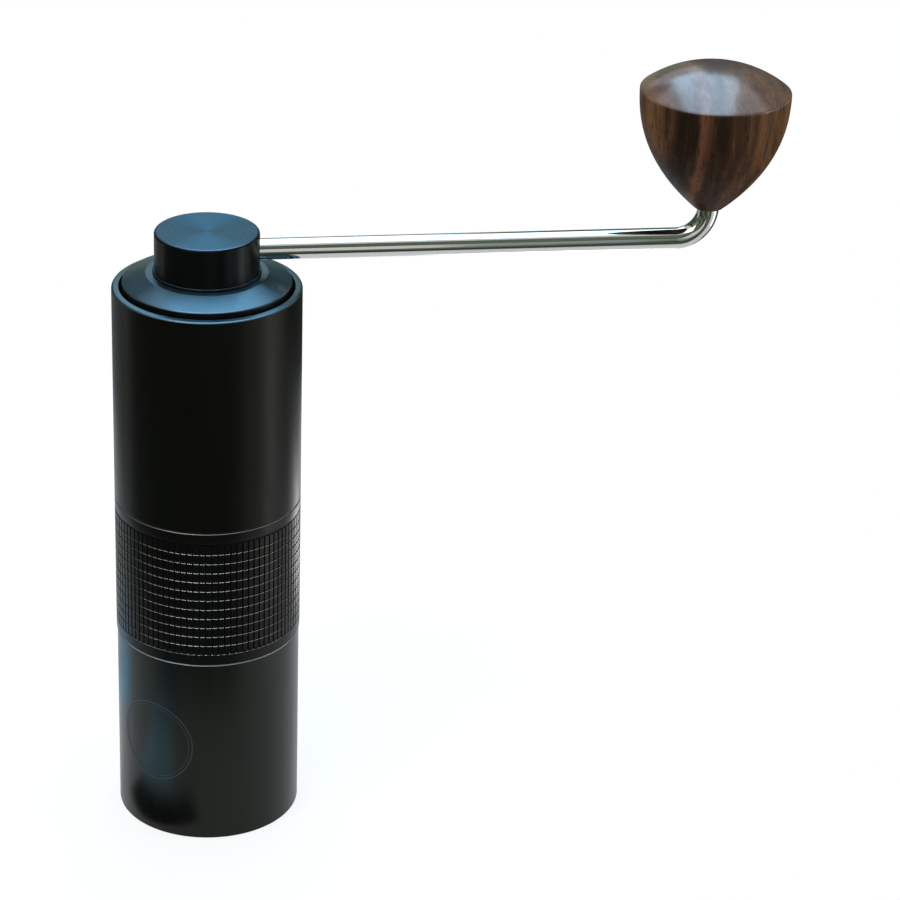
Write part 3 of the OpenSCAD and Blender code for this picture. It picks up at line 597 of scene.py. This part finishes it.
knob = spun([
    (0, KNOB_BORE_TOP), (KNOB_BORE_R, KNOB_BORE_TOP), (KNOB_BORE_R, KNOB_FOOT),
    foot_edge, *flank[1:-1], rim_edge, *dome,
], closed=False, steps=KNOB_STEPS)
bmesh.ops.translate(knob, verts=knob.verts, vec=(KNOB_X * MM, 0, 0))
walnut = Finish("oiled_walnut", Coat_IOR=2.1, Coat_Roughness=0.2, Specular_IOR_Level=0.05)


def along_grain(stretch, turn=(0, 0, 0)):
    """Places a pattern in the block, drawn out along the grain."""
    return walnut.place(stretch, GRAIN_MIDDLE, turn)


band = walnut.noise(along_grain((1, 0.5, 0.05), (0.04, 0.03, 0)), 130, 3, distortion=0.5)
streak = walnut.noise(along_grain((1, 0.45, 0.05), (0.02, 0.03, 0)), 430, 4, 0.6, 0.3)
fibre = walnut.noise(along_grain((1, 0.5, 0.03)), 2400, 3, 0.6)
pores = walnut.noise(along_grain((1, 0.6, 0.10)), 2500, 1).between(0.64, 0.72)
sway = walnut.noise(along_grain((1, 0.5, 0.06)), 190, 3)
straight_across = walnut.node("SeparateXYZ", {0: along_grain((1000, 1, 1))})
across = straight_across + (sway - 0.5) * GRAIN_SWAY


def belt(at, half):
    """1 in the middle of a belt of grain, falling to 0 at its edges, in mm across the block."""
    return (1 - abs(across - at) * (1 / half)).between(0, 1)


tone = band * 0.6 + streak * 0.7 + fibre * 0.26 - 0.285
for at, half, lift in GRAIN_BELTS:
    tone = tone + belt(at, half) * lift
rosy = belt(*RED_BELT)
wood = walnut.node("ValToRGB", {0: tone}, stops=[
    (0.26, WALNUT_DEEP), (0.50, WALNUT_MID), (0.78, WALNUT_LIGHT)])
wood = walnut.blend(rosy * (0.35 + streak), wood, WALNUT_RED)
walnut_height = walnut.radius_and_height()[1]
on_dome = walnut_height.between((KNOB_RIM - 0.6) * MM, (KNOB_RIM + 0.6) * MM)
wood = walnut.blend(pores * 0.8, wood, PORE_DARK)
# The dome's wood is lightened towards a mauve tone as a painted sheen.
walnut.feed("Base Color", walnut.blend(on_dome * 0.35, wood, DOME_SHEEN_TONE))
walnut.feed("Coat Weight", on_dome * (0.53 + streak.between(0.3, 0.65) * 0.24 - pores * 0.1))
walnut.feed("Roughness", 0.42 + pores * 0.2 + fibre * 0.12 - on_dome * 0.08)
walnut.emboss(fibre * 0.35 + streak * 0.3 - pores * 0.9, 0.00004)
fit(finished("knob_walnut_turned", knob), "knob", "knob_walnut", walnut.material, "knob_wood")

# ---- Inner metal parts ----
# The bridges and the shaft are machined, the burrs are hardened steel, and the
# bearings, springs, clips and screws are bought in.
refinish(machined("turned_bridge", (0.42, 0.43, 0.44, 1), 0.34), "upper_bridge", "lower_bridge")
refinish(machined("ground_shaft", (0.50, 0.51, 0.51, 1), 0.16, 0.25), "drive_shaft")
refinish(machined("cut_burr", (0.36, 0.36, 0.365, 1), 0.30, 0.5, 0.6), "ring_burr", "cone_burr")
refinish(machined("bearing_races", (0.55, 0.56, 0.57, 1), 0.12, 0.2),
         "upper_bearing_outer_race", "lower_bearing_outer_race",
         "upper_bearing_inner_race", "lower_bearing_inner_race")
refinish(machined("bearing_ball", (0.60, 0.61, 0.62, 1), 0.06, 0.05, 0.1),
         "upper_bearing_balls", "lower_bearing_balls", "click_balls")
wire_finish = machined("spring_wire", (0.30, 0.31, 0.32, 1), 0.28)
refinish(wire_finish, "click_springs",
         "bridge_snap_ring", "shaft_circlips", "shaft_end_clip", "hub_circlip", "knob_clip")
refinish(machined("brushed_fitting", (0.46, 0.46, 0.45, 1), 0.26, 0.6),
         "spring_washer", "drive_socket")
refinish(machined("screw_metal", (0.33, 0.33, 0.34, 1), 0.24, 0.5),
         "burr_screws", "arm_set_screw")
refinish(machined("nickel_magnet", (0.62, 0.60, 0.56, 1), 0.15, 0.2), "cup_magnets")
refinish(machined("knob_brass", (0.62, 0.42, 0.16, 1), 0.22, 0.5), "knob_bush")

# ---- Burr spring ----
# The spring stands between its washer and the cone burr, and presses the burr
# down onto the dial. It is wound from round wire.
SPRING_R = 4.9
SPRING_WIRE_R = 0.45
SPRING_WIRE_SIDES = 12
SPRING_FOOT = 74.65
SPRING_TOP = 84.4
STEPS_A_TURN = 40
OPEN_TURNS = 3.5
CLOSED_RISE = 2.2 * SPRING_WIRE_R
open_rise = SPRING_TOP - SPRING_FOOT - 2 * SPRING_WIRE_R - 2 * CLOSED_RISE
spring = bmesh.new()
coil_end = bar_end(spring, SPRING_WIRE_R, SPRING_WIRE_SIDES, "X",
                   (SPRING_R, 0, SPRING_FOOT + SPRING_WIRE_R))
for turns, rise in ((1, CLOSED_RISE), (OPEN_TURNS, open_rise), (1, CLOSED_RISE)):
    steps = int(turns * STEPS_A_TURN)
    coil_end = bent(spring, coil_end, cent=(0, 0, 0), axis=(0, 0, 1),
                    dvec=(0, 0, rise * MM / steps), angle=FULL_TURN * turns, steps=steps)
bmesh.ops.recalc_face_normals(spring, faces=spring.faces)
burr_spring = finished("burr_spring_wound", spring)
burr_spring.data.materials.append(wire_finish)
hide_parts("burr_spring")
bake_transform(burr_spring)

# ---- Moulded parts ----
# The bearing covers, the magnet ring and the lid's bush are moulded plastic,
# and the lid's sealing ring is rubber.


def moulded(name, colour, roughness):
    """Moulded plastic or rubber with a fine spark texture."""
    finish = Finish(name, Specular_IOR_Level=0.35)
    cloud = finish.noise(finish.place(), 130, 3)
    spark = finish.noise(finish.place(), 2600, 2)
    dark = tuple(c * 0.8 for c in colour[:3]) + (1,)
    finish.feed("Base Color", finish.blend(cloud, dark, colour))
    finish.feed("Roughness", roughness + spark * 0.12)
    finish.emboss(spark, 0.00001)
    return finish.material


refinish(moulded("cover_plastic", (0.035, 0.036, 0.038, 1), 0.42),
         "upper_bearing_cover", "lower_bearing_cover")
refinish(moulded("carrier_plastic", (0.016, 0.017, 0.018, 1), 0.45), "magnet_ring")
refinish(moulded("bush_plastic", (0.72, 0.71, 0.66, 1), 0.38), "lid_bush")
refinish(moulded("seal_rubber", (0.010, 0.010, 0.010, 1), 0.62), "lid_seal")

# ---- Grind dial ----
# The dial under the burrs is turned, notched round its rim for the fingers and
# anodised dark grey.
# The dial's faces that look up get a painted grey highlight.
refinish(anodised("dial_grey", EDGE_HIGHLIGHT_GREY, EDGE_HIGHLIGHT_GREY, black=0.012), "adjusting_dial")

# ---- Table ----
# The grinder stands on a round white table, which catches its shadow. The
# table looks white to the camera, and throws less light up at the grinder.
WHITE = (1, 1, 1, 1)
BLACK = (0, 0, 0, 1)
TABLE_R = 0.205
TABLE_SIDES = 96
TABLE_MIDDLE = (0.02, 0.1, 0)
TABLE_GLOW = 0.80
TABLE_SHADE = (0.23, 0.23, 0.23, 1)
TABLE_BOUNCE = (0.55, 0.55, 0.54, 1)


def seen_directly(wiring):
    """1 where the camera looks, also by way of polished metal or glass, and 0 for other light."""
    camera_ray, glossy_ray, clear_ray = (
        wiring.node("LightPath", {}, output=f"Is {kind} Ray")
        for kind in ("Camera", "Glossy", "Transmission"))
    return camera_ray.or_more(glossy_ray).or_more(clear_ray)


table = bmesh.new()
bmesh.ops.create_circle(table, cap_ends=True, segments=TABLE_SIDES, radius=TABLE_R)
bmesh.ops.translate(table, verts=table.verts, vec=TABLE_MIDDLE)
table_top = put_in_scene("pale_table", table)
paint = Finish("table_white", Roughness=1.0, Specular_IOR_Level=0.0,
               Emission_Strength=TABLE_GLOW)
looked_at = seen_directly(paint)
paint.feed("Base Color", paint.blend(looked_at, TABLE_BOUNCE, TABLE_SHADE))
paint.feed("Emission Color", paint.blend(looked_at, BLACK, WHITE))
table_top.data.materials.append(paint.material)

# ---- Room ----
# The room is white to look at, and lights the grinder evenly and less brightly.
# Cloths hang round it and cards lie on the table, seen only in the metal, where
# they give the body its dark sides and the cup its blue and dark patches.
ROOM_LIGHT = (0.46, 0.47, 0.47, 1)
room = bpy.data.worlds.new("white_room")
bpy.context.scene.world = room
room.use_nodes = True
air = Wiring(room.node_tree)
air.tree.nodes.clear()
walls = air.blend(seen_directly(air), ROOM_LIGHT, WHITE)
air.node("OutputWorld", {"Surface": air.node("Background", {"Color": walls})})

MIDDLE_Z = 0.12
SCREEN_R = 1.3
SCREEN_STEPS = 48
CLOTH_DULL = {"Roughness": 0.9, "Specular_IOR_Level": 0.1}


def woven(name, dark, pale, folds=None):
    """A dull cloth with soft folds. folds works out where they lie, if they aren't plain."""
    finish = Finish(name, **CLOTH_DULL)
    where = folds(finish) if folds else finish.noise(finish.place(), 5, 2)
    finish.feed("Base Color", finish.blend(where, dark, pale))
    return finish.material


def long_folds(finish):
    """Long folds that lie level, some deep and some faint."""
    return finish.noise(finish.place((0.35, 0.35, 1)), 3.4, 3, 0.55).between(0.42, 0.68)


def mirror_only(thing):
    """Keeps a piece of the studio out of sight, except in the metal."""
    for kind in ("camera", "diffuse", "transmission", "volume_scatter", "shadow"):
        setattr(thing, "visible_" + kind, False)


def hang(name, start, end, low, high, fabric):
    """A curved cloth between two azimuths, from one elevation to another, all in degrees.
    Azimuth 0 is behind the grinder and 90 is on its right."""
    screen = bmesh.new()
    heights = [SCREEN_R * math.tan(math.radians(e)) + MIDDLE_Z for e in (low, high)]
    side = [screen.verts.new((0, SCREEN_R, z)) for z in heights]
    edge = screen.edges.new(side)
    bmesh.ops.rotate(screen, verts=side, cent=(0, 0, 0),
                     matrix=Matrix.Rotation(math.radians(-start), 3, "Z"))
    bmesh.ops.spin(screen, geom=side + [edge], cent=(0, 0, 0), axis=(0, 0, -1),
                   angle=math.radians(end - start), steps=SCREEN_STEPS)
    hung = put_in_scene(name, screen)
    hung.data.materials.append(fabric)
    mirror_only(hung)


olive_cloth = woven("screen_cloth", (0.07, 0.09, 0.08, 1), (0.50, 0.52, 0.27, 1), long_folds)
for name, start, end, low, high in (
        ("front_low_screen", 143, 283, -48, -12),
        ("front_high_screen", 143, 283, 18, 52),
        ("front_right_screen", 143, 163, -12, 18),
        ("front_left_screen", 186, 283, -12, 18),
        ("right_edge_screen", 8, 14, -48, 22),
        ("middle_back_screen", -10, 8, -6, 21),
        ("right_high_screen", 13, 140, 22, 46),
        ("left_high_screen", -110, -42, 10, 50)):
    hang(name, start, end, low, high, olive_cloth)
grey_cloth = woven("grey_cloth", (0.44, 0.45, 0.43, 1), (0.68, 0.69, 0.66, 1))
hang("left_low_screen", -59, 8, -48, -6, grey_cloth)
hang("front_grey_screen", 163, 169, -12, 18, grey_cloth)
black_cloth = woven("black_cloth", (0.05, 0.06, 0.055, 1), (0.12, 0.13, 0.09, 1))
for name, start, end, low, high in (
        ("right_back_screen", 14, 57, -48, 22),
        ("right_side_screen", 57, 79, -48, -4),
        ("left_back_screen", -62, -10, -6, 44),
        ("left_side_screen", -86, -68, -48, -6)):
    hang(name, start, end, low, high, black_cloth)

CARD_Z = 0.8


def lay_card(name, azimuth, start, end, width, strength, colour):
    """A glowing card that lies on the table, from one distance to another in mm."""
    a = math.radians(azimuth)
    ahead = Vector((math.sin(a), math.cos(a), 0))
    aside = Vector((math.cos(a), -math.sin(a), 0))
    flat = bmesh.new()
    flat.faces.new([flat.verts.new((ahead * d + aside * w + Vector((0, 0, CARD_Z))) * MM)
                    for d, w in ((start, width / 2), (end, width / 2),
                                 (end, -width / 2), (start, -width / 2))])
    laid = put_in_scene(name, flat)
    glow = Finish(name + "_glow", Base_Color=BLACK, Specular_IOR_Level=0,
                  Emission_Color=colour, Emission_Strength=strength)
    laid.data.materials.append(glow.material)
    mirror_only(laid)


lay_card("front_blue_card", -121, 48, 88, 38, 2.8, (0.42, 0.74, 1.0, 1))
lay_card("back_blue_card", -57, 75, 140, 44, 2.1, (0.36, 0.70, 1.0, 1))
lay_card("right_card", 47.5, 140, 228, 56, 5.0, (1.0, 0.98, 0.92, 1))
lay_card("front_dark_card", -131, 28, 44, 44, 0, BLACK)
lay_card("front_far_dark_card", -132, 96, 130, 70, 0, BLACK)

# ---- Lamps and camera ----
# One large soft lamp hangs above and behind, a tall one stands low on the right
# and a square one in front on the left. The camera looks down from the front.
AIM = Vector((0.035, 0, MIDDLE_Z))


def panel(name, azimuth, elevation, distance, size, radiance, colour):
    """A soft square lamp that faces the grinder, with its azimuth as the screens have it."""
    a, e = math.radians(azimuth), math.radians(elevation)
    reach = Vector((math.sin(a) * math.cos(e), math.cos(a) * math.cos(e), math.sin(e)))
    lamp = bpy.data.lights.new(name, "AREA")
    lamp.shape = "RECTANGLE"
    lamp.size, lamp.size_y = size
    lamp.energy = radiance * math.pi * size[0] * size[1]
    lamp.color = colour
    stand = bpy.data.objects.new(name, lamp)
    bpy.context.scene.collection.objects.link(stand)
    stand.location = AIM + reach * distance
    stand.rotation_euler = reach.to_track_quat("Z", "Y").to_euler()
    stand.visible_camera = False


panel("top_panel", 10, 72, 1.5, (0.98, 2.2), 3.4, (0.44, 0.72, 1.0))
panel("left_panel", -138, 48, 1.4, (0.8, 0.8), 3.0, (1.0, 0.99, 0.97))
panel("right_panel", 104, -5, 1.25, (0.32, 1.4), 2.6, (1.0, 0.99, 0.90))

LENS = 131.16
SENSOR_WIDTH = 36
ROLL = math.radians(1.838)
CAMERA_PLACE = (-0.06107, -0.83784, 0.51791)
FORWARD = Vector((0.1388, 0.8905, -0.4333)).normalized()
level_right = FORWARD.cross(Vector((0, 0, 1))).normalized()
level_up = level_right.cross(FORWARD)
right = level_right * math.cos(ROLL) + level_up * math.sin(ROLL)
up = level_up * math.cos(ROLL) - level_right * math.sin(ROLL)
lens = bpy.data.cameras.new("camera")
lens.sensor_width = SENSOR_WIDTH
lens.lens = LENS
camera = bpy.data.objects.new("camera", lens)
bpy.context.scene.collection.objects.link(camera)
turn = Matrix((right, up, -FORWARD)).transposed().to_4x4()
camera.matrix_world = Matrix.Translation(CAMERA_PLACE) @ turn
bpy.context.scene.camera = camera
bpy.context.scene.view_settings.view_transform = "Standard"
